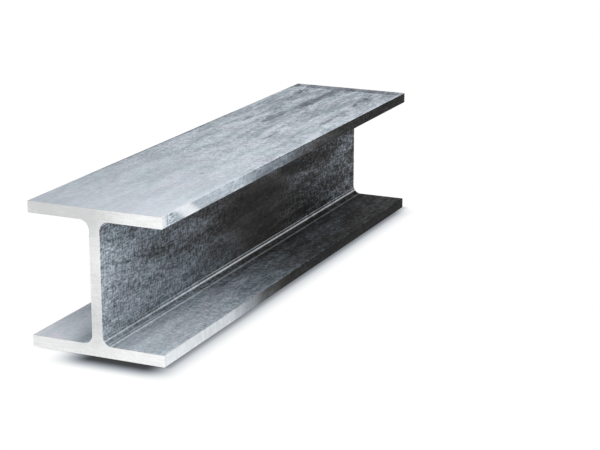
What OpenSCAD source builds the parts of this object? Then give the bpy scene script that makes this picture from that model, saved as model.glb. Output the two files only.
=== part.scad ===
// Short length of hot-rolled wide-flange steel beam (H section, parallel flanges).
// It lies on the outer face of its lower flange: X across the flanges, Y along the
// beam, Z up, with the origin under the middle of the beam. Sizes in millimetres.

/* [Section] */
// Depth over both flanges
depth = 328; // [180:1:420]
// Width of each flange
flange_width = 324; // [140:1:420]
// Thickness of each flange
flange_thickness = 26.5; // [10:0.5:45]
// Thickness of the web between the flanges
web_thickness = 25.5; // [8:0.5:45]
// Radius of the fillet where the web meets a flange
root_radius = 22; // [6:0.5:40]
// Radius of the rolled corners along each flange toe
toe_radius = 1.5; // [0.5:0.5:4.5]

/* [Length] */
// Length between the two sawn ends
beam_length = 1400; // [300:10:12000]

/* [Hidden] */

// Facets of a circle; the arcs carry over as true arcs
$fn = 96;
// Distance that a cutting shape runs past the face that it cuts
cut_over = 1;

half_width = flange_width / 2;
half_web = web_thickness / 2;
channel_depth = half_width - half_web;
channel_height = depth - 2 * flange_thickness;
// The two fillets of a channel share its height, and a fillet stays on its flange
fillet = min(root_radius, channel_height / 2 - cut_over, channel_depth - toe_radius - cut_over);

// Empty corner left when a square corner at the origin is rounded with radius r
module corner_waste(r) {
    difference() {
        translate([-cut_over, -cut_over]) square(r + cut_over);
        translate([r, r]) circle(r = r);
    }
}

// Solid web-to-flange fillet in the first quadrant of a corner at the origin
module fillet_web(r) {
    difference() {
        square(r);
        translate([r, r]) circle(r = r);
    }
}

// Square-edged flange, its outer face along the X axis and its body above it
module flange_outline() {
    difference() {
        translate([-half_width, 0]) square([flange_width, flange_thickness]);
        for (side = [0, 1]) {
            mirror([side, 0]) {
                translate([-half_width, 0]) corner_waste(toe_radius);
                translate([-half_width, flange_thickness]) mirror([0, 1]) corner_waste(toe_radius);
            }
        }
    }
}

// Lower half of the section: one flange, its two fillets and half of the web
module half_section() {
    flange_outline();
    translate([-half_web, 0]) square([web_thickness, depth / 2]);
    for (side = [0, 1]) {
        mirror([side, 0]) translate([half_web, flange_thickness]) fillet_web(fillet);
    }
}

module section() {
    half_section();
    translate([0, depth]) mirror([0, 1]) half_section();
}

// The rolled section, sawn square at both ends
module i_beam() {
    color([0.62, 0.65, 0.69])
        translate([0, beam_length / 2, 0])
            rotate([90, 0, 0])
                linear_extrude(height = beam_length) section();
}

i_beam();
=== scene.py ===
"""Short cut length of hot-rolled wide-flange steel beam, lying on its lower flange.

The beam is one rolled piece. Its skin is blue-grey mill scale, paler towards the
front end and darker on the web and at the back: partly the scale's own tone,
partly painted light at the front and painted shade on the web and at the back.
Its two ends are bright from the saw.
"""
import logging
import math
from collections.abc import Callable, Sequence
from dataclasses import dataclass, field, replace
from enum import Enum

import bpy
from mathutils import Euler, Matrix, Vector, noise
from mathutils.geometry import delaunay_2d_cdt


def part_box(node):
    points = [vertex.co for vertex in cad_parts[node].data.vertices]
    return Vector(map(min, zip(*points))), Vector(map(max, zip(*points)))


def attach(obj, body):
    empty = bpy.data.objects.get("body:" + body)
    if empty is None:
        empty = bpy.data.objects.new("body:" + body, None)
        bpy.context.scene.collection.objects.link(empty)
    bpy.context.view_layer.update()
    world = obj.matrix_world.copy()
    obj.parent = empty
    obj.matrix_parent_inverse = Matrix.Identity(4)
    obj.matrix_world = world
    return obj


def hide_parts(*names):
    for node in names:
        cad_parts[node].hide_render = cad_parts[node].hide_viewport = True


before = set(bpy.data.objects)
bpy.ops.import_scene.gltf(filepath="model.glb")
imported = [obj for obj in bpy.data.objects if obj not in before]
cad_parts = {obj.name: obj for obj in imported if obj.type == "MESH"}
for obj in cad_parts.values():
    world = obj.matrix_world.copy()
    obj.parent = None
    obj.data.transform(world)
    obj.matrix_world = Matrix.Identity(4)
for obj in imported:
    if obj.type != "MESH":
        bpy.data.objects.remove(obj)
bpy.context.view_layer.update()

LOG = logging.getLogger("beam")
BEAM_NODE = "i_beam"
BEAM_BODY = "root"

TONE = "skin_tone"
STREAK = "streak_strength"
GRAIN = "grain_strength"
COVER = "scale_cover"
RUB = "edge_rub"
BARE_AND_LIGHT = "bare_steel"
MARKS = (TONE, STREAK, GRAIN, COVER, RUB, BARE_AND_LIGHT)
BAKE_MAP = "OFBake"

SKIN_SLOT = 0
SAWN_SLOT = 1

FlatPlace = tuple[float, float]
Span = tuple[float, float]
Colour = tuple[float, float, float, float]
Stops = tuple[tuple[float, float], ...]
Finish = tuple[float, float, float, float]
Socket = bpy.types.NodeSocket
Feed = Socket | float

WHITE: Colour = (1.0, 1.0, 1.0, 1.0)


def smooth_step(low: float, high: float, value: float) -> float:
    """Ease a value from 0 to 1 between two limits.

    Args:
        low: where the result leaves 0.
        high: where the result reaches 1.
        value: the value to ease.

    Returns:
        The eased share, from 0 to 1.
    """
    share = min(max((value - low) / (high - low), 0.0), 1.0)
    return share * share * (3.0 - 2.0 * share)


def along_stops(stops: Stops, share: float) -> float:
    """Read a value from stops set along the beam, eased between each two.

    Args:
        stops: pairs of share of the length and value, in rising order.
        share: place along the beam, 0 at the front end and 1 at the back.

    Returns:
        The value at that place.
    """
    if share <= stops[0][0]:
        return stops[0][1]
    for (start, low), (end, high) in zip(stops, stops[1:]):
        if share <= end:
            return low + (high - low) * smooth_step(start, end, share)
    return stops[-1][1]


def blend(first: Sequence[float], second: Sequence[float], share: float) -> tuple[float, ...]:
    """Blend two rows of values by a share."""
    return tuple(a + (b - a) * share for a, b in zip(first, second))


def hump(share: float) -> float:
    """Rise from 0 to 1 at the middle of a stretch and fall back to 0."""
    return 4.0 * share * (1.0 - share)


def add_object(name: str, data: bpy.types.ID) -> bpy.types.Object:
    """Put a mesh, a light or a camera into the scene.

    Args:
        name: the object's name.
        data: what the object shows or holds.

    Returns:
        The object.
    """
    added = bpy.data.objects.new(name, data)
    bpy.context.scene.collection.objects.link(added)
    return added


class Zone(Enum):
    """Stretches of the rolled outline."""

    OUTER_FACE = "outer face of a flange"
    TOE_ARRIS = "rolled corner of a flange toe"
    TOE = "edge of a flange"
    INNER_FACE = "inner face of a flange"
    ROOT = "fillet between web and flange"
    WEB = "face of the web"


@dataclass(frozen=True)
class OutlinePoint:
    """One point of the section's outline, with the way the surface faces there."""

    x: float
    z: float
    nx: float
    nz: float
    zone: Zone
    share: float
    upper: bool = False

    def mirrored_up(self, depth: float) -> "OutlinePoint":
        """Give the same point on the upper half of the section."""
        return replace(self, z=depth - self.z, nz=-self.nz, upper=True)

    def mirrored_left(self) -> "OutlinePoint":
        """Give the same point on the left half of the section."""
        return replace(self, x=-self.x, nx=-self.nx)


@dataclass(frozen=True)
class RolledSection:
    """Sizes of the wide-flange section, in metres, and its outline."""

    width: float
    depth: float
    flange: float = 0.0265
    web: float = 0.0255
    root: float = 0.022
    toe_round: float = 0.0015
    pitch: float = 0.007
    root_steps: int = 20
    arris_steps: int = 4
    support: float = 0.0012

    def _flat(
        self, start: FlatPlace, end: FlatPlace, normal: FlatPlace, zone: Zone
    ) -> list[OutlinePoint]:
        """Set points along a flat stretch, with a close one beside each end.

        Args:
            start: where the stretch begins, as x and z.
            end: where the stretch ends.
            normal: the way the surface faces.
            zone: what the stretch is.

        Returns:
            The points, without the very first and last.
        """
        length = math.dist(start, end)
        steps = max(2, round(length / self.pitch))
        shares = [self.support / length]
        shares += [i / steps for i in range(1, steps)]
        shares += [1.0 - self.support / length]
        return [OutlinePoint(*blend(start, end, share), *normal, zone, share) for share in shares]

    def _round(
        self, centre: FlatPlace, radius: float, start: float, end: float, steps: int, zone: Zone
    ) -> list[OutlinePoint]:
        """Set points round an arc.

        Args:
            centre: the arc's centre, as x and z.
            radius: the arc's radius.
            start: angle of the first point, in degrees.
            end: angle of the last point; an arc that runs backwards is hollow.
            steps: how many steps the arc takes.
            zone: what the arc is.

        Returns:
            The points, the first and last among them.
        """
        facing = 1.0 if end > start else -1.0
        points = []
        for i in range(steps + 1):
            angle = math.radians(start + (end - start) * i / steps)
            c, s = math.cos(angle), math.sin(angle)
            x, z = centre[0] + radius * c, centre[1] + radius * s
            points.append(OutlinePoint(x, z, facing * c, facing * s, zone, i / steps))
        return points

    def quarter(self) -> list[OutlinePoint]:
        """Walk the lower right quarter, from under the web to half way up it.

        Returns:
            The quarter's points in order.
        """
        half, web = self.width / 2, self.web / 2
        toe, toe_top = half - self.toe_round, self.flange - self.toe_round
        root_x, root_z = web + self.root, self.flange + self.root
        return [
            *self._flat((0.0, 0.0), (toe, 0.0), (0.0, -1.0), Zone.OUTER_FACE),
            *self._round((toe, self.toe_round), self.toe_round, -90, 0, self.arris_steps, Zone.TOE_ARRIS),
            *self._flat((half, self.toe_round), (half, toe_top), (1.0, 0.0), Zone.TOE),
            *self._round((toe, toe_top), self.toe_round, 0, 90, self.arris_steps, Zone.TOE_ARRIS),
            *self._flat((toe, self.flange), (root_x, self.flange), (0.0, 1.0), Zone.INNER_FACE),
            *self._round((root_x, root_z), self.root, 270, 180, self.root_steps, Zone.ROOT),
            *self._flat((web, root_z), (web, self.depth / 2), (1.0, 0.0), Zone.WEB),
        ]

    def outline(self) -> list[OutlinePoint]:
        """Walk the whole outline once round, starting under the web.

        Returns:
            The points in order, the first one on the middle of the underside.
        """
        quarter = self.quarter()
        middle = OutlinePoint(self.web / 2, self.depth / 2, 1.0, 0.0, Zone.WEB, 1.0)
        right = [*quarter, middle, *(p.mirrored_up(self.depth) for p in reversed(quarter))]
        below = OutlinePoint(0.0, 0.0, 0.0, -1.0, Zone.OUTER_FACE, 0.0)
        left = [p.mirrored_left() for p in reversed(right)]
        return [below, *right, below.mirrored_up(self.depth), *left]

    @staticmethod
    def distances(outline: Sequence[OutlinePoint]) -> list[float]:
        """Measure the way round the outline.

        Args:
            outline: the outline's points, once round.

        Returns:
            The distance to each point, and last the distance all the way round.
        """
        around = [0.0]
        for here, there in zip(outline, [*outline[1:], outline[0]]):
            around.append(around[-1] + math.dist((here.x, here.z), (there.x, there.z)))
        return around

    def holds(self, x: float, z: float, margin: float) -> bool:
        """Say whether a place is inside the steel.

        Args:
            x: the place across the flanges, in metres.
            z: its height.
            margin: how far from the steel's faces it has to be.

        Returns:
            True where it is inside.
        """
        z = min(z, self.depth - z)
        if abs(x) <= self.web / 2 - margin:
            return z >= margin
        return abs(x) <= self.width / 2 - margin and margin <= z <= self.flange - margin


@dataclass(frozen=True)
class ScalePatch:
    """A feathered patch on a flat face, long and narrow or broad."""

    along: float
    across: float
    length: float
    width: float
    strength: float
    drift: float = 0.0

    def at(self, share: float, across: float) -> float:
        """Say how strongly the patch shows at a place.

        Args:
            share: place along the beam, from 0 to 1.
            across: distance from the middle of the flange, or height up the web, in metres.

        Returns:
            The patch's strength there.
        """
        run = (share - self.along) / self.length
        side = (across - self.across - self.drift * run) / self.width
        return self.strength * math.exp(-(run**4) - side * side)


@dataclass(frozen=True)
class BarePatch:
    """Scale knocked off one flange toe aslant, spilling a little onto the outer face."""

    along: float = 0.066
    length: float = 0.026
    lean: float = 1.2
    skew: float = 0.6
    spill: float = 0.007
    strength: float = 0.55

    def at(self, share: float, gap: float, drop: float) -> float:
        """Say how bare a place is.

        Args:
            share: place along the beam, from 0 to 1.
            gap: distance from the toe over the outer face, in metres.
            drop: distance down the toe from the outer face, in metres.

        Returns:
            How bare the steel is there, from 0 to 1.
        """
        run = (share - self.along - self.skew * gap - self.lean * drop) / self.length
        return self.strength * math.exp(-(run**8) - (gap / self.spill) ** 2)


@dataclass(frozen=True)
class ZoneFinish:
    """How one zone's finish runs along the beam: tone, streaks, grain and dark scale."""

    tone: Stops
    streak: Stops
    grain: Stops
    cover: Stops

    def at(self, share: float) -> Finish:
        """Read the zone's tone, streaks, grain and cover at a share of the length."""
        return tuple(along_stops(kept, share) for kept in (self.tone, self.streak, self.grain, self.cover))


@dataclass(frozen=True)
class SkinTone:
    """How the skin's finish runs over the whole beam. Its tones hold painted light at the front end and
    painted shade on the right web, the right toes and the back, besides the scale's own changes.
    """

    # The tone stops fall from the front end to the back: partly the scale's own change, partly painted light
    # at the front and painted shade on the right web and toes further back.
    outer: ZoneFinish = ZoneFinish(
        tone=((0.0, 0.765), (0.3, 0.73), (0.6, 0.71), (0.85, 0.68), (1.0, 0.67)),
        streak=((0.0, 0.25), (0.25, 0.38), (0.4, 0.62), (0.6, 0.88), (1.0, 1.05)),
        grain=((0.0, 0.15), (0.25, 0.35), (0.4, 0.65), (0.6, 0.5), (1.0, 0.65)),
        cover=((0.0, 0.0), (0.25, 0.10), (0.6, 0.20), (1.0, 0.28)),
    )
    toe_upper: ZoneFinish = ZoneFinish(
        tone=(
            (0.0, 0.70),
            (0.02, 0.62),
            (0.13, 0.60),
            (0.25, 0.645),
            (0.4, 0.42),
            (0.55, 0.24),
            (0.8, 0.04),
            (1.0, 0.03),
        ),
        streak=((0.0, 0.2), (0.1, 0.2), (0.25, 0.8), (1.0, 0.5)),
        grain=((0.0, 0.3), (0.01, 0.5), (0.02, 1.8), (0.035, 1.4), (0.05, 0.3), (0.5, 0.5), (1.0, 0.7)),
        cover=((0.0, 0.2), (0.2, 0.1), (0.5, 0.2), (1.0, 0.3)),
    )
    toe_lower: ZoneFinish = ZoneFinish(
        tone=((0.0, 0.50), (0.2, 0.50), (0.27, 0.45), (0.37, 0.25), (0.45, 0.03), (1.0, 0.03)),
        streak=((0.0, 0.2), (0.2, 0.3), (1.0, 0.5)),
        grain=((0.0, 0.1), (0.25, 0.2), (0.5, 0.5), (1.0, 0.5)),
        cover=((0.0, 0.0), (0.5, 0.2), (1.0, 0.3)),
    )
    inner: ZoneFinish = ZoneFinish(
        tone=(
            (0.0, 0.78),
            (0.12, 0.735),
            (0.27, 0.68),
            (0.35, 0.54),
            (0.45, 0.40),
            (0.58, 0.27),
            (1.0, 0.22),
        ),
        streak=((0.0, 0.4), (0.5, 0.65), (1.0, 0.65)),
        grain=((0.0, 0.5), (0.3, 0.85), (1.0, 0.75)),
        cover=((0.0, 0.1), (0.3, 0.2), (1.0, 0.3)),
    )
    web_low: ZoneFinish = ZoneFinish(
        tone=((0.0, 0.57), (0.15, 0.48), (0.3, 0.39), (0.5, 0.23), (0.75, 0.17), (1.0, 0.34)),
        streak=((0.0, 0.7), (0.35, 0.7), (0.5, 0.5), (0.62, 0.6), (0.82, 1.1), (1.0, 1.0)),
        grain=((0.0, 0.9), (0.3, 0.85), (0.5, 0.3), (0.58, 0.3), (0.82, 1.2), (1.0, 1.3)),
        cover=((0.0, 0.2), (0.4, 0.3), (0.6, 0.2), (1.0, 0.4)),
    )
    web_high: ZoneFinish = ZoneFinish(
        tone=((0.0, 0.50), (0.15, 0.32), (0.3, 0.25), (0.45, 0.12), (0.6, 0.15), (0.8, 0.22), (1.0, 0.33)),
        streak=((0.0, 0.7), (0.35, 0.7), (0.5, 0.5), (0.62, 0.6), (0.82, 1.1), (1.0, 1.0)),
        grain=((0.0, 1.1), (0.3, 0.85), (0.5, 0.3), (0.58, 0.4), (0.82, 1.2), (1.0, 1.3)),
        cover=((0.0, 0.2), (0.4, 0.3), (0.6, 0.2), (1.0, 0.4)),
    )
    plain: Finish = (0.55, 0.9, 0.8, 0.25)
    plain_share: float = 0.7
    plain_span: Span = (0.1, 0.35)
    # Painted light on the left inner faces at the front end, less towards the web.
    left_lift: float = 0.16
    left_fall: float = 0.8
    left_span: Span = (0.4, 1.0)
    left_smooth: float = 0.6
    arris_turn: float = 0.6
    arris_shade: float = 0.5
    arris_span: Span = (0.2, 0.45)
    # Painted shade in the roots: darker than the inner faces they start from, darker again in the upper
    # roots, and darkest mid-fillet.
    root_crease_shade: float = 0.85
    upper_root_shade: float = 0.8
    root_shade: float = 0.75
    # Painted shade on the inner faces next to the web; near_toe_fade only makes them a little darker along
    # the toes.
    near_web_shade: float = 0.15
    near_web_span: Span = (0.6, 1.0)
    near_toe_fade: float = 0.08
    near_toe_span: Span = (0.1, 0.45)
    near_toe_start: Span = (0.03, 0.14)
    half_width: float = 0.162
    depth: float = 0.328
    # Painted light on the flanges' outer faces: the upper face lighter towards its right edge, fading out
    # towards the back.
    tilt: float = 0.36
    bare: BarePatch = BarePatch()
    bare_upper: Stops = ((0.0, 0.4), (0.010, 0.35), (0.018, 0.0))
    # Painted light on the lower right toe, brightest at the front end and gone about a third of the way back.
    lower_toe_light: Stops = ((0.0, 0.60), (0.1, 0.55), (0.2, 0.47), (0.3, 0.15), (0.36, 0.0))
    patches: tuple[ScalePatch, ...] = (
        ScalePatch(0.25, -0.107, 0.012, 0.008, 0.30),
        ScalePatch(0.27, 0.070, 0.030, 0.015, 0.28),
        ScalePatch(0.345, -0.030, 0.020, 0.012, 0.25),
        ScalePatch(0.43, -0.1605, 0.25, 0.0045, 0.90),
        ScalePatch(0.55, 0.048, 0.050, 0.007, 0.45),
        ScalePatch(0.64, 0.030, 0.025, 0.009, 0.35),
        ScalePatch(0.67, -0.090, 0.040, 0.009, 0.40),
        ScalePatch(0.68, 0.112, 0.040, 0.010, 0.45),
        ScalePatch(0.69, -0.038, 0.045, 0.010, 1.00),
        ScalePatch(0.77, -0.031, 0.10, 0.007, 0.25, 0.006),
        ScalePatch(0.78, 0.108, 0.030, 0.009, 0.30),
        ScalePatch(0.85, -0.024, 0.060, 0.012, 0.90, 0.002),
        ScalePatch(0.86, 0.115, 0.12, 0.022, 0.15),
        ScalePatch(0.91, 0.095, 0.040, 0.010, 0.25),
        ScalePatch(0.93, -0.107, 0.030, 0.012, 0.35),
        ScalePatch(0.95, -0.016, 0.050, 0.022, 0.60),
        ScalePatch(0.985, 0.0, 0.015, 0.160, 0.60),
    )
    smoke: tuple[ScalePatch, ...] = (
        ScalePatch(0.24, 0.157, 0.14, 0.016, -0.09, -0.006),
        ScalePatch(0.29, 0.190, 0.10, 0.014, 0.05),
        ScalePatch(0.28, 0.095, 0.14, 0.030, 0.05),
        ScalePatch(0.53, 0.160, 0.10, 0.020, -0.05, -0.010),
        ScalePatch(0.46, 0.085, 0.10, 0.030, 0.04),
        ScalePatch(0.57, 0.210, 0.06, 0.014, 0.07),
        ScalePatch(0.705, 0.195, 0.06, 0.010, -0.10, -0.004),
        ScalePatch(0.71, 0.158, 0.045, 0.014, 0.06),
        ScalePatch(0.74, 0.107, 0.09, 0.012, -0.06),
        ScalePatch(0.84, 0.185, 0.045, 0.009, -0.07, -0.004),
        ScalePatch(0.86, 0.145, 0.12, 0.026, 0.12),
        ScalePatch(0.10, 0.060, 0.16, 0.016, 0.05),
        ScalePatch(0.35, 0.095, 0.06, 0.040, -0.05),
        ScalePatch(0.30, 0.160, 0.08, 0.020, 0.04),
        # Painted shade high on the web under the upper flange, at the front end.
        ScalePatch(0.04, 0.282, 0.10, 0.014, -0.10),
        ScalePatch(0.60, 0.222, 0.16, 0.020, 0.06),
    )

    def zone(self, point: OutlinePoint, share: float) -> Finish:
        """Give the finish at a point of the outline.

        Args:
            point: the point of the outline.
            share: place along the beam, from 0 to 1.

        Returns:
            Tone, streaks, grain and cover.
        """
        outward = point.nz if point.upper else -point.nz
        if point.zone is Zone.OUTER_FACE or (point.zone is Zone.TOE_ARRIS and outward > self.arris_turn):
            return self._outer(point, share)
        if point.zone is Zone.TOE or (point.zone is Zone.TOE_ARRIS and outward > -self.arris_turn):
            tone, *rest = (self.toe_upper if point.upper else self.toe_lower).at(share)
            shade = self.arris_shade if point.zone is Zone.TOE_ARRIS else 0.0
            finish = (tone * (1.0 - shade * smooth_step(*self.arris_span, share)), *rest)
        else:
            finish = self._channel(point, share)
        if point.x > 0.0:
            return finish
        away = smooth_step(*self.plain_span, share)
        if point.zone is Zone.INNER_FACE:
            # Painted light on the left inner faces at the front end.
            tone, streak, grain, cover = finish
            fall = self.left_fall * smooth_step(*self.left_span, point.share)
            lift = self.left_lift * (1.0 - away) * (1.0 - fall)
            finish = (tone + lift, self.left_smooth * streak, self.left_smooth * grain, cover)
        return blend(finish, self.plain, self.plain_share * away)

    def _outer(self, point: OutlinePoint, share: float) -> Finish:
        """Give the finish at a point of a flange's outer face.

        Args:
            point: the point of the outline.
            share: place along the beam, from 0 to 1.

        Returns:
            Tone, streaks, grain and cover.
        """
        tone, streak, grain, cover = self.outer.at(share)
        across = point.x if point.upper else -point.x
        # Painted light: lighter towards the right edge of the upper face, fading towards the back.
        tone += self.tilt * across * (1.0 - share)
        return tone, streak, grain, cover + sum(patch.at(share, across) for patch in self.patches)

    def _channel(self, point: OutlinePoint, share: float) -> Finish:
        """Give the finish at a point of the web, of a root or of a flange's inner face.

        Args:
            point: the point of the outline.
            share: place along the beam, from 0 to 1.

        Returns:
            Tone, streaks, grain and cover.
        """
        web = blend(self.web_low.at(share), self.web_high.at(share), self._height(point))
        if point.zone is Zone.WEB:
            return (web[0] + sum(patch.at(share, point.z) for patch in self.smoke), *web[1:])
        tone, *rest = self.inner.at(share)
        if point.zone is Zone.ROOT:
            # The roots get painted shade, most in the middle of each fillet and in the upper roots.
            tone, *rest = blend((tone * self.root_crease_shade, *rest), web, point.share)
            tone *= self.upper_root_shade if point.upper else 1.0
            return (tone * (1.0 - (1.0 - self.root_shade) * hump(point.share)), *rest)
        # The inner faces get painted shade next to the web, and are made a little darker along the toes.
        near_web = point.share if point.zone is Zone.INNER_FACE else 0.0
        near_toe = 1.0 - smooth_step(*self.near_toe_span, near_web)
        fade = self.near_web_shade * smooth_step(*self.near_web_span, near_web)
        fade += self.near_toe_fade * near_toe * smooth_step(*self.near_toe_start, share)
        return (tone * (1.0 - fade), *rest)

    def bareness_and_toe_light(self, point: OutlinePoint, share: float) -> float:
        """Say how far the scale is off the right-hand toes at a point, with painted light on the lower toe
        towards the front end.

        Args:
            point: the point of the outline.
            share: place along the beam, from 0 to 1.

        Returns:
            0 where the scale is whole and no light is painted, up to 1 where it's all gone or the painted
            light is brightest.
        """
        if point.x < 0.0:
            return 0.0
        on_toe = point.zone in (Zone.TOE, Zone.TOE_ARRIS)
        if not point.upper:
            return along_stops(self.lower_toe_light, share) if on_toe else 0.0
        worn = along_stops(self.bare_upper, share) if on_toe else 0.0
        return max(worn, self.bare.at(share, self.half_width - point.x, self.depth - point.z))

    @staticmethod
    def _height(point: OutlinePoint) -> float:
        """Say how far up the web a point is, 0 at the lower flange and 1 at the upper."""
        half = 0.5 * point.share if point.zone is Zone.WEB else 0.0
        return 1.0 - half if point.upper else half


@dataclass(frozen=True)
class RolledRelief:
    """Small waves and ridges that rolling leaves on the skin, in metres."""

    wave: float = 0.00022
    wave_length: float = 0.30
    wave_width: float = 0.09
    flake: float = 0.00010
    flake_size: float = 0.026
    flake_shift: tuple[float, float, float] = (7.3, 1.9, 4.1)
    toe_wander: float = 0.00035
    toe_wave: float = 0.085
    toe_twist: float = 9.0
    toe_apart: float = 3.0
    toe_crown: float = 0.00045
    seam: float = 0.0005
    seam_spread: float = 0.01
    seam_span: Span = (0.05, 0.45)
    resting_height: float = 0.001
    facing_down: float = -0.5
    seam_lines: tuple[tuple[float, float, float], ...] = (
        (0.05, 0.35, 0.25),
        (0.10, 0.55, 0.30),
        (0.15, 0.30, 0.20),
        (0.30, 0.28, 0.00),
        (0.35, 0.06, 0.00),
        (0.55, 0.05, 0.20),
        (0.60, 0.52, 1.40),
        (0.65, 0.22, 0.62),
        (0.80, 0.20, 0.70),
    )

    def seam_at(self, point: OutlinePoint, share: float) -> float:
        """Say how strongly a roll line runs through a point of a root.

        Args:
            point: the point of the outline.
            share: place along the beam, from 0 to 1.

        Returns:
            The line's strength, 0 where there is none.
        """
        if point.zone is not Zone.ROOT:
            return 0.0
        for place, front, back in self.seam_lines:
            if abs(point.share - place) < self.seam_spread:
                return front + (back - front) * smooth_step(*self.seam_span, share)
        return 0.0

    def height(self, point: OutlinePoint, y: float, share: float) -> float:
        """Give how far the skin stands proud of the plain section.

        Args:
            point: the point of the outline.
            y: place along the beam, in metres.
            share: the same place from 0 to 1.

        Returns:
            The height along the point's normal, never down into the floor.
        """
        at = Vector((point.x / self.wave_width, y / self.wave_length, point.z / self.wave_width))
        rise = self.wave * noise.noise(at)
        fine = Vector((point.x, y, point.z)) / self.flake_size
        rise += self.flake * noise.noise(fine + Vector(self.flake_shift))
        if point.zone is Zone.TOE:
            side = math.copysign(self.toe_apart, point.x)
            rise += self.toe_wander * noise.noise(Vector((side, y / self.toe_wave, point.z * self.toe_twist)))
            rise += self.toe_crown * hump(point.share)
        rise += self.seam * self.seam_at(point, share)
        on_floor = point.nz < self.facing_down and point.z < self.resting_height
        return -abs(rise) if on_floor else rise


@dataclass
class MeshStock:
    """Vertices, faces and their values as they are gathered for one mesh."""

    verts: list[tuple[float, float, float]] = field(default_factory=list)
    faces: list[tuple[int, ...]] = field(default_factory=list)
    maps: list[tuple[FlatPlace, ...]] = field(default_factory=list)
    slots: list[int] = field(default_factory=list)
    values: dict[str, list[float]] = field(default_factory=lambda: {name: [] for name in MARKS})

    def vertex(self, place: tuple[float, float, float], marks: Sequence[float] = ()) -> int:
        """Add a vertex with the values of its marks.

        Args:
            place: where the vertex is.
            marks: values of its marks, in the order of MARKS; those left out are 0.

        Returns:
            The vertex's index.
        """
        self.verts.append(place)
        for i, kept in enumerate(self.values.values()):
            kept.append(marks[i] if i < len(marks) else 0.0)
        return len(self.verts) - 1

    def face(self, corners: Sequence[int], places: Sequence[FlatPlace], slot: int) -> None:
        """Add a face.

        Args:
            corners: indices of its vertices, anticlockwise from outside.
            places: the corners' places on the flat map.
            slot: its material slot.
        """
        self.faces.append(tuple(corners))
        self.maps.append(tuple(places))
        self.slots.append(slot)

    def mesh(self, name: str, side: float) -> bpy.types.Mesh:
        """Make the mesh.

        Args:
            name: the mesh's name.
            side: length that fills the flat map from edge to edge.

        Returns:
            The finished mesh, with its map, slots and values.
        """
        mesh = bpy.data.meshes.new(name)
        mesh.from_pydata(self.verts, [], self.faces)
        mesh.polygons.foreach_set("material_index", self.slots)
        flat = mesh.uv_layers.new(name=BAKE_MAP)
        corners = [value / side for places in self.maps for place in places for value in place]
        flat.uv.foreach_set("vector", corners)
        for mark, kept in self.values.items():
            mesh.attributes.new(mark, "FLOAT", "POINT").data.foreach_set("value", kept)
        mesh.validate(clean_customdata=False)
        mesh.update()
        return mesh


@dataclass(frozen=True)
class DarkerEndPatch:
    """A feathered darker patch on a sawn end."""

    x: float
    z: float
    reach: float
    strength: float

    def at(self, x: float, z: float) -> float:
        """Say how strongly the patch shows at a place."""
        return self.strength * math.exp(-((x - self.x) ** 2 + (z - self.z) ** 2) / self.reach**2)


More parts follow.
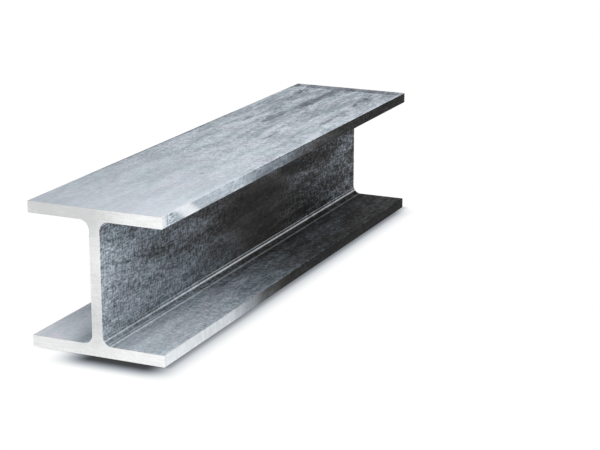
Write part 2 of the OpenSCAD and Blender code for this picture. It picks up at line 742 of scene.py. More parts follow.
@dataclass
class RolledBeam:
    """The beam itself: one closed mesh of rolled skin and two sawn ends."""

    section: RolledSection
    length: float
    relief: RolledRelief = RolledRelief()
    skin: SkinTone = SkinTone()
    row_pitch: float = 0.007
    saw_break: float = 0.0005
    end_rows: tuple[float, ...] = (0.0, 0.0015, 0.004)
    cap_pitch: float = 0.007
    cap_hollow: float = 0.00025
    cap_wander: FlatPlace = (14.0, 9.0)
    cap_joined: float = 1e-7
    map_gap: float = 0.008
    cap_margin: float = 0.003
    rub_reach: float = 0.004
    relief_start: float = 0.01
    arris_rub: float = 0.9
    arris_rub_span: Span = (0.1, 0.4)
    # Roll lines in the roots are painted paler and bare: partly rubbed steel on the ridge, partly a painted
    # highlight.
    seam_bare_and_highlight: float = 0.6
    seam_highlight: float = 0.5
    crease: float = 35.0
    darker_patches: tuple[DarkerEndPatch, ...] = (
        DarkerEndPatch(-0.110, 0.320, 0.090, 1.0),
        DarkerEndPatch(-0.010, 0.320, 0.070, 0.75),
        DarkerEndPatch(0.000, 0.080, 0.060, 0.85),
        DarkerEndPatch(0.000, 0.180, 0.040, 0.35),
    )

    def _darkening(self, x: float, z: float) -> float:
        """Say how much darker a place on a sawn end is made, from 0 to 1."""
        return min(1.0, sum(patch.at(x, z) for patch in self.darker_patches))

    def _rows(self) -> list[float]:
        """Place the rings of the skin along the beam, close ones beside each end.

        Returns:
            Where the rings stand, in metres from the middle.
        """
        half = self.length / 2 - self.saw_break
        near = [half - step for step in self.end_rows]
        inner = near[-1]
        count = round(2 * inner / self.row_pitch)
        middle = [-inner + 2 * inner * i / count for i in range(1, count)]
        return [-y for y in near] + middle + near[::-1]

    def _skin(
        self, stock: MeshStock, outline: list[OutlinePoint], around: list[float]
    ) -> tuple[list[int], list[int]]:
        """Add the rolled skin.

        Args:
            stock: the mesh being gathered.
            outline: the section's outline.
            around: distance round the outline to each of its points.

        Returns:
            Vertex indices of the first and the last ring.
        """
        rows = self._rows()
        rings = []
        for y in rows:
            share = y / self.length + 0.5
            to_end = self.length / 2 - abs(y)
            cut_rub = 1.0 - smooth_step(0.0, self.rub_reach, to_end)
            arris_rub = self.arris_rub * (1.0 - smooth_step(*self.arris_rub_span, share))
            ring = []
            for point in outline:
                rise = self.relief.height(point, y, share) * smooth_step(0.0, self.relief_start, to_end)
                arris = arris_rub if point.zone is Zone.TOE_ARRIS else 0.0
                place = (point.x + point.nx * rise, y, point.z + point.nz * rise)
                # Along the roll lines the tone is raised and the steel shown bare: part rubbed steel, part
                # painted highlight.
                seam = self.relief.seam_at(point, share)
                tone, *finish = self.skin.zone(point, share)
                bare = max(self.seam_bare_and_highlight * seam, self.skin.bareness_and_toe_light(point, share))
                marks = (tone + self.seam_highlight * seam, *finish, max(arris, cut_rub), bare)
                ring.append(stock.vertex(place, marks))
            rings.append(ring)
        count = len(outline)
        to_map = self.length / 2 + self.map_gap
        for j in range(len(rows) - 1):
            low, high = rows[j] + to_map, rows[j + 1] + to_map
            for i in range(count):
                k = (i + 1) % count
                left, right = around[i] + self.map_gap, around[i + 1] + self.map_gap
                stock.face(
                    (rings[j][i], rings[j][k], rings[j + 1][k], rings[j + 1][i]),
                    ((low, left), (low, right), (high, right), (high, left)),
                    SKIN_SLOT,
                )
        return rings[0], rings[-1]

    def _end(self, stock: MeshStock, outline: list[OutlinePoint], ring: list[int], front: bool) -> None:
        """Close one end with its sawn face and the broken corner round it.

        Args:
            stock: the mesh being gathered.
            outline: the section's outline.
            ring: vertex indices of the skin's ring at this end.
            front: whether this is the front end.
        """
        way = -1.0 if front else 1.0
        face_y = way * self.length / 2
        count = len(outline)
        rim_flat = [(p.x - p.nx * self.saw_break, p.z - p.nz * self.saw_break) for p in outline]
        rim = [stock.vertex((x, face_y, z), (self._darkening(x, z),)) for x, z in rim_flat]
        base = self.length + 3 * self.map_gap + self.section.width / 2
        lift = self.map_gap + (0.0 if front else self.section.depth + self.map_gap)

        def placed(x: float, z: float) -> FlatPlace:
            """Give an end point's place on the flat map."""
            return base + x * -way, lift + z

        for i in range(count):
            k = (i + 1) % count
            corners = [ring[i], ring[k], rim[k], rim[i]]
            places = [
                placed(outline[i].x, outline[i].z),
                placed(outline[k].x, outline[k].z),
                placed(*rim_flat[k]),
                placed(*rim_flat[i]),
            ]
            if front:
                corners.reverse()
                places.reverse()
            stock.face(corners, places, SAWN_SLOT)
        self._sawn_face(stock, rim, rim_flat, face_y, placed)

    def _sawn_face(
        self,
        stock: MeshStock,
        rim: list[int],
        rim_flat: list[FlatPlace],
        face_y: float,
        placed: Callable[[float, float], FlatPlace],
    ) -> None:
        """Fill the sawn face with triangles, dished a little where the blade wandered.

        Args:
            stock: the mesh being gathered.
            rim: vertex indices round the face.
            rim_flat: the same corners as x and z.
            face_y: where the face stands, below 0 at the front end.
            placed: gives a point's place on the flat map.
        """
        section, front = self.section, face_y < 0.0
        across = round(section.width / self.cap_pitch)
        up = round(section.depth / self.cap_pitch)
        grid = [
            (section.width * (i / across - 0.5), section.depth * j / up)
            for i in range(across + 1)
            for j in range(up + 1)
        ]
        inner = [place for place in grid if section.holds(*place, self.cap_margin)]
        count = len(rim)
        points = [Vector(p) for p in rim_flat + inner]
        edges = [(i, (i + 1) % count) for i in range(count)]
        flat, _, faces, origin, _, _ = delaunay_2d_cdt(points, edges, [], 1, self.cap_joined)
        index = []
        for place, source in zip(flat, origin):
            if source and source[0] < count:
                index.append(rim[source[0]])
                continue
            at = Vector((place.x * self.cap_wander[0], face_y, place.y * self.cap_wander[1]))
            dish = abs(noise.noise(at)) * self.cap_hollow
            y = face_y + (dish if front else -dish)
            index.append(stock.vertex((place.x, y, place.y), (self._darkening(place.x, place.y),)))
        for face in faces:
            corners = [index[i] for i in face]
            places = [placed(flat[i].x, flat[i].y) for i in face]
            turn = self._turn([flat[i] for i in face])
            if (turn > 0) != front:
                corners.reverse()
                places.reverse()
            stock.face(corners, places, SAWN_SLOT)

    @staticmethod
    def _turn(points: list[Vector]) -> float:
        """Say which way round a triangle's corners run: above 0 is anticlockwise."""
        a, b, c = points[:3]
        return (b.x - a.x) * (c.y - a.y) - (b.y - a.y) * (c.x - a.x)

    def build(self, finishes: Sequence[bpy.types.Material]) -> bpy.types.Object:
        """Make the beam.

        Args:
            finishes: the rolled skin's material, then the sawn ends'.

        Returns:
            The finished object.
        """
        outline = self.section.outline()
        around = self.section.distances(outline)
        stock = MeshStock()
        first, last = self._skin(stock, outline, around)
        self._end(stock, outline, first, front=True)
        self._end(stock, outline, last, front=False)
        mesh = stock.mesh("rolled_beam", around[-1] + 2 * self.map_gap)
        mesh.polygons.foreach_set("use_smooth", [slot == SKIN_SLOT for slot in stock.slots])
        beam = add_object("rolled_beam", mesh)
        for finish in finishes:
            mesh.materials.append(finish)
        mesh.set_sharp_from_angle(angle=math.radians(self.crease))
        return beam


class Wiring:
    """Adds nodes to one node tree and joins them."""

    def __init__(self, tree: bpy.types.NodeTree) -> None:
        """Keep the tree that the nodes go in."""
        self.tree = tree

    def node(self, kind: str, **settings: object) -> bpy.types.Node:
        """Add a node.

        Args:
            kind: the node's type.
            settings: values of its settings.

        Returns:
            The node.
        """
        made = self.tree.nodes.new(kind)
        for name, value in settings.items():
            setattr(made, name, value)
        return made

    def feed(self, target: Socket, source: Feed | Sequence[float]) -> None:
        """Join a socket to a target, or set the target's own value.

        Args:
            target: the socket that is fed.
            source: the socket or the value that it gets.
        """
        if isinstance(source, bpy.types.NodeSocket):
            self.tree.links.new(source, target)
        else:
            target.default_value = source

    def place(self) -> Socket:
        """Give the coordinates of the object itself, in metres."""
        return self.node("ShaderNodeTexCoord").outputs["Object"]

    def mark(self, name: str) -> Socket:
        """Read one of the marks that the mesh carries."""
        return self.node("ShaderNodeAttribute", attribute_name=name).outputs["Fac"]

    def camera_ray(self) -> Socket:
        """Tell the rays that the camera sends from those that light takes."""
        return self.node("ShaderNodeLightPath").outputs["Is Camera Ray"]

    def relief(self, shader: bpy.types.Node, height: Socket, depth: float, strength: float) -> None:
        """Let a height bend the light on a surface.

        Args:
            shader: the surface's shader.
            height: the height, changing over the surface.
            depth: how deep one unit of height is, in metres.
            strength: how much of the bend shows.
        """
        bump = self.node("ShaderNodeBump")
        bump.inputs["Distance"].default_value = depth
        bump.inputs["Strength"].default_value = strength
        self.feed(bump.inputs["Height"], height)
        self.feed(shader.inputs["Normal"], bump.outputs[0])

    def math(self, operation: str, first: Feed, second: Feed = 0.0, clamp: bool = False) -> Socket:
        """Work out a sum of two values.

        Args:
            operation: name of the sum, as the node has it.
            first: first value.
            second: second value.
            clamp: whether the result stays between 0 and 1.

        Returns:
            The result's socket.
        """
        made = self.node("ShaderNodeMath", operation=operation, use_clamp=clamp)
        self.feed(made.inputs[0], first)
        self.feed(made.inputs[1], second)
        return made.outputs[0]

    def span(self, value: Feed, low: Feed, high: Feed, to_low: Feed = 0.0, to_high: Feed = 1.0) -> Socket:
        """Ease a value from one span to another.

        Args:
            value: the value to ease.
            low: start of its span.
            high: end of its span.
            to_low: result at the start.
            to_high: result at the end.

        Returns:
            The result's socket.
        """
        made = self.node("ShaderNodeMapRange", interpolation_type="SMOOTHSTEP")
        for socket, source in zip(made.inputs, (value, low, high, to_low, to_high)):
            self.feed(socket, source)
        return made.outputs[0]

    def mix_colour(self, share: Feed, first: Feed | Colour, second: Feed | Colour) -> Socket:
        """Mix two colours by a share.

        Args:
            share: 0 for the first colour and 1 for the second.
            first: first colour.
            second: second colour.

        Returns:
            The mixed colour's socket.
        """
        made = self.node("ShaderNodeMix", data_type="RGBA")
        self.feed(made.inputs[0], share)
        self.feed(made.inputs[6], first)
        self.feed(made.inputs[7], second)
        return made.outputs[2]

    def ramp(self, share: Socket, stops: Sequence[tuple[float, Colour]]) -> Socket:
        """Turn a share into a colour.

        Args:
            share: the share, from 0 to 1.
            stops: pairs of share and colour, in rising order.

        Returns:
            The colour's socket.
        """
        made = self.node("ShaderNodeValToRGB")
        while len(made.color_ramp.elements) < len(stops):
            made.color_ramp.elements.new(0.5)
        for element, (place, colour) in zip(made.color_ramp.elements, stops):
            element.position = place
            element.color = colour
        self.feed(made.inputs[0], share)
        return made.outputs[0]

    def noise(
        self, place: Socket, scale: Feed, detail: float, rough: float = 0.5, bend: float = 0.0
    ) -> Socket:
        """Add cloudy noise over a place.

        Args:
            place: coordinates.
            scale: how many clouds go to one unit.
            detail: how many finer layers are added.
            rough: how strong the finer layers are.
            bend: how far the clouds are distorted.

        Returns:
            The noise's value, around a half.
        """
        made = self.node("ShaderNodeTexNoise")
        self.feed(made.inputs["Vector"], place)
        self.feed(made.inputs["Scale"], scale)
        made.inputs["Detail"].default_value = detail
        made.inputs["Roughness"].default_value = rough
        made.inputs["Distortion"].default_value = bend
        return made.outputs["Fac"]

    def stretched(
        self, place: Socket, across: Feed, along: Feed, seed: Socket | Sequence[float]
    ) -> Socket:
        """Scale coordinates so that one unit is a chosen width and length.

        Args:
            place: coordinates in metres.
            across: size across the beam that becomes one unit.
            along: size along the beam that becomes one unit.
            seed: shift that gives another pattern.

        Returns:
            The scaled coordinates.
        """
        sizes = self.node("ShaderNodeCombineXYZ")
        self.feed(sizes.inputs[0], across)
        self.feed(sizes.inputs[1], along)
        self.feed(sizes.inputs[2], across)
        divided = self.node("ShaderNodeVectorMath", operation="DIVIDE")
        self.feed(divided.inputs[0], place)
        self.feed(divided.inputs[1], sizes.outputs[0])
        shift = self.node("ShaderNodeVectorMath", operation="ADD")
        self.feed(shift.inputs[0], divided.outputs[0])
        self.feed(shift.inputs[1], seed)
        return shift.outputs[0]


def open_material(title: str) -> tuple[bpy.types.Material, Wiring, bpy.types.Node]:
    """Make a material.

    Args:
        title: the material's name.

    Returns:
        The material, its wiring and its main shader.
    """
    material = bpy.data.materials.new(title)
    material.use_nodes = True
    return material, Wiring(material.node_tree), material.node_tree.nodes["Principled BSDF"]


@dataclass(frozen=True)
class Port:
    """One named socket of a shared effect."""

    name: str
    kind: str = "NodeSocketFloat"
    value: float | None = None


class Effect:
    """A shared effect: a node group made once and placed in each material."""

    title = "Effect"
    takes: tuple[Port, ...] = ()
    gives: tuple[Port, ...] = (Port("Mask"),)

    def group(self) -> bpy.types.NodeTree:
        """Give the effect's group, making it the first time.

        Returns:
            The node group.
        """
        found = bpy.data.node_groups.get(self.title)
        if found:
            return found
        tree = bpy.data.node_groups.new(self.title, "ShaderNodeTree")
        for ports, way in ((self.takes, "INPUT"), (self.gives, "OUTPUT")):
            for port in ports:
                socket = tree.interface.new_socket(port.name, in_out=way, socket_type=port.kind)
                if port.value is not None:
                    socket.default_value = port.value
        wiring = Wiring(tree)
        entry = wiring.node("NodeGroupInput").outputs
        leave = wiring.node("NodeGroupOutput").inputs
        self.wire(wiring, entry, leave)
        return tree

    def wire(self, wiring: Wiring, entry: bpy.types.NodeOutputs, leave: bpy.types.NodeInputs) -> None:
        """Fill the group between its inputs and outputs."""
        raise NotImplementedError

    def place(self, wiring: Wiring, **values: Feed) -> bpy.types.NodeOutputs:
        """Place the effect in a material.

        Args:
            wiring: the material's wiring.
            values: what each named input gets, with spaces as underscores.

        Returns:
            The placed group's outputs.
        """
        placed = wiring.node("ShaderNodeGroup", node_tree=self.group())
        for name, value in values.items():
            wiring.feed(placed.inputs[name.replace("_", " ")], value)
        return placed.outputs


class RollingStreaks(Effect):
    """Streaks drawn out along the beam by the rolls."""

    title = "Rolling streaks"
    takes = (
        Port("Place", "NodeSocketVector"),
        Port("Width", value=0.01),
        Port("Length", value=0.2),
        Port("Contrast", value=0.5),
        Port("Seed", value=0.0),
    )
    softest = 0.45
    hardening = 0.4

    def wire(self, wiring: Wiring, entry: bpy.types.NodeOutputs, leave: bpy.types.NodeInputs) -> None:
        """Stretch cloudy noise along the beam and sharpen it.

        Args:
            wiring: the group's wiring.
            entry: what the group takes, by name.
            leave: what the group gives, by name.
        """
        place = wiring.stretched(entry["Place"], entry["Width"], entry["Length"], entry["Seed"])
        clouds = wiring.noise(place, scale=1.0, detail=4.0, rough=0.62, bend=0.3)
        half = wiring.math("MULTIPLY_ADD", entry["Contrast"], -self.hardening)
        half.node.inputs[2].default_value = self.softest
        low = wiring.math("SUBTRACT", 0.5, half)
        high = wiring.math("ADD", 0.5, half)
        wiring.feed(leave["Mask"], wiring.span(clouds, low, high))


class WovenScale(Effect):
    """Canvas-like pattern of scale cracked along and across the beam."""

    title = "Woven scale"
    takes = (
        Port("Place", "NodeSocketVector"),
        Port("Pitch", value=0.008),
        Port("Stretch", value=5.0),
        Port("Seed", value=0.0),
    )
    gives = (Port("Mask"), Port("Height"))
    levels: Span = (0.78, 1.22)

    def wire(self, wiring: Wiring, entry: bpy.types.NodeOutputs, leave: bpy.types.NodeInputs) -> None:
        """Cross threads that run along the beam with threads that run across it.

        Args:
            wiring: the group's wiring.
            entry: what the group takes, by name.
            leave: what the group gives, by name.
        """
        pitch, long_side = entry["Pitch"], wiring.math("MULTIPLY", entry["Pitch"], entry["Stretch"])
        threads = []
        for across, along in ((pitch, long_side), (long_side, pitch)):
            place = wiring.stretched(entry["Place"], across, along, entry["Seed"])
            threads.append(wiring.noise(place, scale=1.0, detail=2.0))
        both = wiring.math("ADD", *threads)
        wiring.feed(leave["Mask"], wiring.span(both, *self.levels))
        wiring.feed(leave["Height"], both)


class FlakePatches(Effect):
    """Ragged patches where scale has flaked away or stayed on."""

    title = "Flake patches"
    takes = (
        Port("Place", "NodeSocketVector"),
        Port("Size", value=0.05),
        Port("Length", value=0.1),
        Port("Cover", value=0.5),
        Port("Softness", value=0.06),
        Port("Seed", value=0.0),
    )
    levels: Span = (0.72, 0.28)

    def wire(self, wiring: Wiring, entry: bpy.types.NodeOutputs, leave: bpy.types.NodeInputs) -> None:
        """Cut cloudy noise at a level that sets how much is covered.

        Args:
            wiring: the group's wiring.
            entry: what the group takes, by name.
            leave: what the group gives, by name.
        """
        place = wiring.stretched(entry["Place"], entry["Size"], entry["Length"], entry["Seed"])
        clouds = wiring.noise(place, scale=1.0, detail=7.0, rough=0.68, bend=0.4)
        level = wiring.span(entry["Cover"], 0.0, 1.0, *self.levels)
        low = wiring.math("SUBTRACT", level, entry["Softness"])
        high = wiring.math("ADD", level, entry["Softness"])
        wiring.feed(leave["Mask"], wiring.span(clouds, low, high))


class EdgeRub(Effect):
    """Corners rubbed bright, broken up so that the wear isn't even."""

    title = "Edge rub"
    takes = (
        Port("Place", "NodeSocketVector"),
        Port("Edge", value=0.0),
        Port("Grain", value=0.01),
        Port("Amount", value=0.6),
    )
    stretch = 3.0
    shift = (3.7, 1.3, 5.1)
    least = 1.75
    gain = 0.6
    feather = 0.25

    def wire(self, wiring: Wiring, entry: bpy.types.NodeOutputs, leave: bpy.types.NodeInputs) -> None:
        """Let noise eat into the marked edges.

        Args:
            wiring: the group's wiring.
            entry: what the group takes, by name.
            leave: what the group gives, by name.
        """
        long_side = wiring.math("MULTIPLY", entry["Grain"], self.stretch)
        place = wiring.stretched(entry["Place"], entry["Grain"], long_side, self.shift)
        clouds = wiring.noise(place, scale=1.0, detail=3.0, rough=0.6)
        reach = wiring.math("ADD", entry["Edge"], clouds)
        level = wiring.math("SUBTRACT", self.least, wiring.math("MULTIPLY", entry["Amount"], self.gain))
        wiring.feed(leave["Mask"], wiring.span(reach, level, wiring.math("ADD", level, self.feather)))


class LeatherGrain(Effect):
    """Pebbly grain of pits and raised specks, a little drawn out along the beam."""

    title = "Leather grain"
    takes = (
        Port("Place", "NodeSocketVector"),
        Port("Width", value=0.0035),
        Port("Length", value=0.007),
        Port("Seed", value=0.0),
    )
    gives = (Port("Mask"), Port("Height"))
    levels: Span = (0.36, 0.64)

    def wire(self, wiring: Wiring, entry: bpy.types.NodeOutputs, leave: bpy.types.NodeInputs) -> None:
        """Sharpen a fine noise.

        Args:
            wiring: the group's wiring.
            entry: what the group takes, by name.
            leave: what the group gives, by name.
        """
        place = wiring.stretched(entry["Place"], entry["Width"], entry["Length"], entry["Seed"])
        fine = wiring.noise(place, scale=1.0, detail=3.0, rough=0.65, bend=0.6)
        wiring.feed(leave["Mask"], wiring.span(fine, *self.levels))
        wiring.feed(leave["Height"], fine)


@dataclass(frozen=True)
class MillScaleSkin:
    """Blue-grey mill scale with edges rubbed bright; its paler and darker stretches follow the skin's tone
    mark, which holds painted light and shade.
    """

    title: str = "Mill scale skin"
    ramp: tuple[tuple[float, Colour], ...] = (
        (0.00, (0.004, 0.004, 0.004, 1.0)),
        (0.20, (0.0340, 0.0330, 0.0320, 1.0)),
        (0.28, (0.0615, 0.0620, 0.0625, 1.0)),
        (0.40, (0.112, 0.131, 0.151, 1.0)),
        (0.60, (0.285, 0.322, 0.355, 1.0)),
        (0.80, (0.565, 0.608, 0.655, 1.0)),
        (0.92, (0.735, 0.780, 0.830, 1.0)),
        (1.00, (0.890, 0.900, 0.905, 1.0)),
    )
    # Colour of bare steel, also used for the painted light on the lower toe and the painted highlight along
    # the roll lines.
    bare: Colour = (0.85, 0.86, 0.86, 1.0)
    warm: Colour = (1.02, 0.986, 1.004, 1.0)
    cool: Colour = (0.98, 1.006, 1.0, 1.0)
    old: Colour = (1.03, 0.985, 0.990, 1.0)
    flake_drop: float = 0.19
    dash_gap: float = 0.7
    rub_bright: float = 0.7
    rub_polish: float = 0.12
    metal_tones: Span = (0.1, 0.8)
    metal: Span = (0.1, 0.35)
    rough: Span = (0.46, 0.60)
    relief: float = 0.0008
    relief_shown: float = 0.7
    flake_height: float = 0.4
    shine: float = 0.02

    def build(self) -> bpy.types.Material:
        """Make the material.

        Returns:
            The material.
        """
        material, wiring, shader = open_material(self.title)
        place = wiring.place()
        marks = {name: wiring.mark(name) for name in MARKS}
        broad = RollingStreaks().place(wiring, Place=place, Width=0.018, Length=0.20, Contrast=0.45, Seed=2.0)
        thin = RollingStreaks().place(wiring, Place=place, Width=0.004, Length=0.035, Contrast=0.6, Seed=9.0)
        weave = WovenScale().place(wiring, Place=place, Pitch=0.0040, Stretch=4.0, Seed=4.0)
        pebble = LeatherGrain().place(wiring, Place=place, Width=0.0029, Length=0.0056, Seed=5.0)
        crinkle = LeatherGrain().place(wiring, Place=place, Width=0.012, Length=0.014, Seed=11.0)
        smoke = LeatherGrain().place(wiring, Place=place, Width=0.034, Length=0.200, Seed=7.0)
        flakes = FlakePatches().place(
            wiring, Place=place, Size=0.013, Length=0.042, Cover=marks[COVER], Softness=0.05, Seed=6.0
        )["Mask"]
        tone = marks[TONE]
        for mask, weight, strength in (
            (broad, 0.08, STREAK),
            (thin, 0.12, STREAK),
            (crinkle, 0.08, STREAK),
            (smoke, 0.17, STREAK),
            (weave, 0.20, GRAIN),
            (pebble, 0.18, GRAIN),
        ):
            swing = wiring.math("MULTIPLY", wiring.math("SUBTRACT", mask["Mask"], 0.5), weight)
            tone = wiring.math("ADD", tone, wiring.math("MULTIPLY", swing, marks[strength]))
        dark = wiring.math("MULTIPLY", flakes, self.flake_drop)
        tone = wiring.math("SUBTRACT", tone, dark, clamp=True)
        scale = wiring.ramp(tone, self.ramp)
        clouds = wiring.noise(
            wiring.stretched(place, across=0.05, along=0.12, seed=(2.0, 4.0, 8.0)), scale=1.0, detail=2.0
        )
        tint = wiring.mix_colour(wiring.span(clouds, 0.3, 0.7), self.warm, self.cool)
        tint = wiring.mix_colour(flakes, tint, self.old)
        skin = wiring.node("ShaderNodeMix", data_type="RGBA", blend_type="MULTIPLY")
        skin.inputs[0].default_value = 1.0
        wiring.feed(skin.inputs[6], scale)
        wiring.feed(skin.inputs[7], tint)
        rub = EdgeRub().place(wiring, Place=place, Edge=marks[RUB], Grain=0.006, Amount=0.45)["Mask"]
        # The bare mark holds bare steel and painted light: the lower toe's painted light and the roll lines'
        # painted highlight, broken into dashes.
        dashes = RollingStreaks().place(
            wiring, Place=place, Width=0.02, Length=0.007, Contrast=0.7, Seed=1.5
        )["Mask"]
        gaps = wiring.math("MULTIPLY", wiring.span(dashes, 0.0, 1.0, self.dash_gap, 0.0), marks[STREAK])
        line = wiring.math("MULTIPLY", marks[BARE_AND_LIGHT], wiring.math("SUBTRACT", 1.0, gaps), clamp=True)
        bright = wiring.math("MAXIMUM", wiring.math("MULTIPLY", rub, self.rub_bright), line)
        colour = wiring.mix_colour(bright, skin.outputs[2], self.bare)
        wiring.feed(shader.inputs["Base Color"], colour)
        wiring.feed(shader.inputs["Metallic"], wiring.span(tone, *self.metal_tones, *self.metal))
        rough = wiring.span(pebble["Mask"], 0.0, 1.0, *self.rough)
        polish = wiring.math("MULTIPLY", bright, self.rub_polish)
        wiring.feed(shader.inputs["Roughness"], wiring.math("SUBTRACT", rough, polish))
        shader.inputs["Specular IOR Level"].default_value = self.shine
        height = wiring.math("MULTIPLY", wiring.math("ADD", weave["Height"], pebble["Height"]), marks[GRAIN])
        height = wiring.math("ADD", height, wiring.math("MULTIPLY", crinkle["Height"], marks[STREAK]))
        height = wiring.math("ADD", height, wiring.math("MULTIPLY", flakes, self.flake_height))
        wiring.relief(shader, height, self.relief, self.relief_shown)
        return material


@dataclass(frozen=True)
class SawnSteel:
    """Bright steel as the saw leaves it, with faint marks of the blade."""

    title: str = "Sawn steel"
    light: Colour = (0.775, 0.768, 0.759, 1.0)
    dull: Colour = (0.51, 0.51, 0.505, 1.0)
    blade_lean: float = 7.0
    blade_stretch: tuple[float, float, float] = (1.0, 0.0, 18.0)
    dullness: float = 0.75
    metal: float = 0.6
    rough: Span = (0.40, 0.52)
    relief: float = 0.0003
    relief_shown: float = 0.5
    grain_height: float = 0.5
    shine: float = 0.3

    def build(self) -> bpy.types.Material:
        """Make the material.

        Returns:
            The material.
        """
        material, wiring, shader = open_material(self.title)
        place = wiring.place()
        turn = wiring.node("ShaderNodeMapping")
        wiring.feed(turn.inputs["Vector"], place)
        turn.inputs["Rotation"].default_value = (0.0, math.radians(self.blade_lean), 0.0)
        turn.inputs["Scale"].default_value = self.blade_stretch
        marks = wiring.noise(turn.outputs[0], scale=22.0, detail=5.0, rough=0.65)
        stain = FlakePatches().place(
            wiring, Place=place, Size=0.06, Length=0.06, Cover=0.45, Softness=0.16, Seed=3.0
        )["Mask"]
        grain = LeatherGrain().place(wiring, Place=place, Width=0.003, Length=0.003, Seed=1.0)
        # The ends' tone mark darkens the listed patches; stains, blade marks and grain add to that.
        dull = wiring.math("MULTIPLY", wiring.mark(TONE), self.dullness)
        for mask, weight in ((stain, 0.14), (wiring.span(marks, 0.35, 0.65), 0.22), (grain["Mask"], 0.24)):
            dull = wiring.math("ADD", dull, wiring.math("MULTIPLY", mask, weight), clamp=True)
        wiring.feed(shader.inputs["Base Color"], wiring.mix_colour(dull, self.light, self.dull))
        shader.inputs["Metallic"].default_value = self.metal
        shader.inputs["Specular IOR Level"].default_value = self.shine
        wiring.feed(shader.inputs["Roughness"], wiring.span(marks, 0.3, 0.7, *self.rough))
        height = wiring.math("ADD", marks, wiring.math("MULTIPLY", grain["Height"], self.grain_height))
        wiring.relief(shader, height, self.relief, self.relief_shown)
        return material


@dataclass(frozen=True)
class Softbox:
    """One large soft light."""

    name: str
    place: tuple[float, float, float]
    aim: tuple[float, float, float]
    size: float
    power: float
    colour: tuple[float, float, float] = (1.0, 1.0, 1.0)

    def build(self) -> bpy.types.Object:
        """Hang the light.

        Returns:
            The light.
        """
        lamp = bpy.data.lights.new(self.name, "AREA")
        lamp.shape = "SQUARE"
        lamp.size = self.size
        lamp.energy = self.power
        lamp.color = self.colour
        held = add_object(self.name, lamp)
        held.location = self.place
        held.rotation_euler = (Vector(self.aim) - Vector(self.place)).to_track_quat("-Z", "Y").to_euler()
        return held


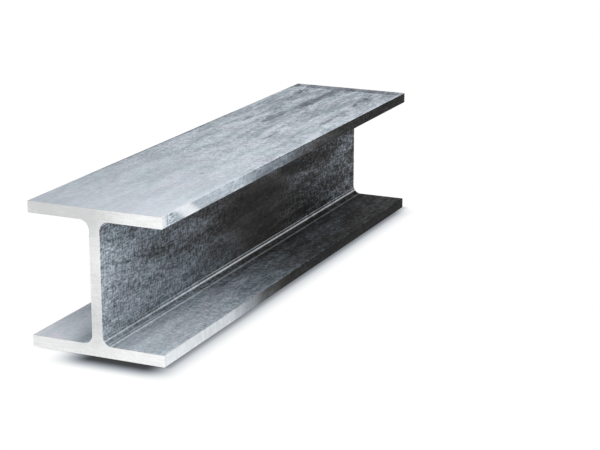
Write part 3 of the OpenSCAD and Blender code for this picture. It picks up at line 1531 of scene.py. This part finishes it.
@dataclass(frozen=True)
class Studio:
    """Pale floor, pale surroundings, soft lights and the camera."""

    floor_size: float = 60.0
    floor_colour: Colour = (0.90, 0.91, 0.92, 1.0)
    floor_shown: Colour = (0.02, 0.02, 0.02, 1.0)
    floor_glow: float = 0.45
    floor_rough: float = 0.9
    shade_ramp: tuple[tuple[float, Colour], ...] = (
        (0.00, WHITE),
        (0.24, (0.760, 0.781, 0.798, 1.0)),
        (0.58, (0.417, 0.447, 0.487, 1.0)),
        (0.85, (0.172, 0.190, 0.211, 1.0)),
        (1.00, (0.035, 0.037, 0.040, 1.0)),
    )
    shade_fades: tuple[tuple[int, float, float], ...] = (
        (0, -0.105, -0.006),
        (0, 0.223, 0.123),
        (1, -0.787, -0.716),
        (1, 0.715, 0.620),
    )
    contact_middle: tuple[float, float] = (0.012, 0.004)
    contact_half: tuple[float, float] = (0.1490, 0.6920)
    contact_reach: float = 0.0235
    contact_glow: float = 0.57
    sky_colour: Colour = (0.95, 0.975, 1.0, 1.0)
    sky_strength: float = 0.55
    azimuth: float = 24.11
    elevation: float = 15.93
    roll: float = 0.11
    distance: float = 4.237
    lens: float = 102.97
    sensor: float = 36.0
    sight: float = 200.0
    aim: tuple[float, float, float] = (0.1383, 0.0467, -0.0487)
    lights: tuple[Softbox, ...] = (
        Softbox("key_softbox", (1.2, -2.2, 1.35), (0.05, -0.6, 0.15), 2.8, 46.0, (1.0, 0.985, 0.975)),
        Softbox("top_softbox", (0.9, 0.3, 2.6), (0.0, 0.0, 0.3), 2.0, 34.0),
    )

    def floor(self) -> bpy.types.Object:
        """Lay the floor that the beam lies on, shaded softly close round the beam.

        Returns:
            The floor.
        """
        half = self.floor_size / 2
        mesh = bpy.data.meshes.new("studio_floor")
        corners = [(-half, -half, 0.0), (half, -half, 0.0), (half, half, 0.0), (-half, half, 0.0)]
        mesh.from_pydata(corners, [], [(0, 1, 2, 3)])
        paint, wiring, shader = open_material("Studio floor")
        seen = wiring.camera_ray()
        apart = wiring.node("ShaderNodeSeparateXYZ")
        wiring.feed(apart.inputs[0], wiring.place())
        glow = wiring.ramp(self._shade(wiring, apart.outputs), self.shade_ramp)
        strength = wiring.span(seen, 0.0, 1.0, self.floor_glow, self._contact(wiring, apart.outputs))
        wiring.feed(shader.inputs["Base Color"], wiring.mix_colour(seen, self.floor_colour, self.floor_shown))
        wiring.feed(shader.inputs["Emission Color"], wiring.mix_colour(seen, self.floor_colour, glow))
        wiring.feed(shader.inputs["Emission Strength"], strength)
        shader.inputs["Roughness"].default_value = self.floor_rough
        shader.inputs["Specular IOR Level"].default_value = 0.0
        mesh.materials.append(paint)
        floor = add_object("studio_floor", mesh)
        return floor

    def _shade(self, wiring: Wiring, place: bpy.types.NodeOutputs) -> Socket:
        """Say how deep the beam's broad soft shadow is.

        Args:
            wiring: the floor material's wiring.
            place: the point's coordinates, one output each.

        Returns:
            1 in the middle of the shadow and 0 outside it.
        """
        shade = None
        for axis, clear, full in self.shade_fades:
            fade = wiring.span(place[axis], clear, full)
            shade = wiring.math("MULTIPLY", shade, fade) if shade else fade
        return shade

    def _contact(self, wiring: Wiring, place: bpy.types.NodeOutputs) -> Socket:
        """Say how much light reaches the floor close beside the beam.

        Args:
            wiring: the floor material's wiring.
            place: the point's coordinates, one output each.

        Returns:
            The share of the light, lowest against the beam.
        """
        squares = []
        for axis, (middle, half) in enumerate(zip(self.contact_middle, self.contact_half)):
            from_middle = wiring.math("ABSOLUTE", wiring.math("SUBTRACT", place[axis], middle))
            gap = wiring.math("MAXIMUM", wiring.math("SUBTRACT", from_middle, half), 0.0)
            squares.append(wiring.math("MULTIPLY", gap, gap))
        gap = wiring.math("SQRT", wiring.math("ADD", *squares))
        return wiring.span(gap, 0.0, self.contact_reach, self.contact_glow, 1.0)

    def sky(self) -> None:
        """Surround everything with plain pale light, white to the camera."""
        world = bpy.data.worlds.new("studio")
        world.use_nodes = True
        wiring = Wiring(world.node_tree)
        glow = world.node_tree.nodes["Background"]
        seen = wiring.camera_ray()
        wiring.feed(glow.inputs["Color"], wiring.mix_colour(seen, self.sky_colour, WHITE))
        wiring.feed(glow.inputs["Strength"], wiring.span(seen, 0.0, 1.0, self.sky_strength, 1.0))
        bpy.context.scene.world = world
        bpy.context.scene.view_settings.view_transform = "Standard"

    def camera(self, centre: Vector) -> bpy.types.Object:
        """Stand the camera.

        Args:
            centre: the middle of the beam.

        Returns:
            The camera.
        """
        lens = bpy.data.cameras.new("camera")
        lens.lens = self.lens
        lens.sensor_width = self.sensor
        lens.clip_end = self.sight
        camera = add_object("camera", lens)
        turn = Euler((math.radians(90.0 - self.elevation), 0.0, math.radians(self.azimuth))).to_matrix()
        turn = turn @ Matrix.Rotation(math.radians(self.roll), 3, "Z")
        camera.matrix_world = Matrix.Translation(
            centre + Vector(self.aim) + turn @ Vector((0.0, 0.0, self.distance))
        ) @ turn.to_4x4()
        bpy.context.scene.camera = camera
        return camera

    def build(self, low: Vector, high: Vector) -> None:
        """Set up the floor, the surroundings, the lights and the camera.

        Args:
            low: the beam's lowest corner.
            high: the beam's highest corner.
        """
        self.floor()
        self.sky()
        for light in self.lights:
            light.build()
        self.camera((low + high) / 2)


def main() -> None:
    """Build the beam and the studio around it."""
    logging.basicConfig(level=logging.INFO, format="%(name)s: %(message)s")
    low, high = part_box(BEAM_NODE)
    section = RolledSection(width=high.x - low.x, depth=high.z - low.z)
    beam = RolledBeam(section=section, length=high.y - low.y)
    piece = beam.build((MillScaleSkin().build(), SawnSteel().build()))
    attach(piece, BEAM_BODY)
    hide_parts(BEAM_NODE)
    LOG.info("%s: %d vertices, %d faces", piece.name, len(piece.data.vertices), len(piece.data.polygons))
    Studio().build(low, high)


if __name__ == "__main__":
    main()
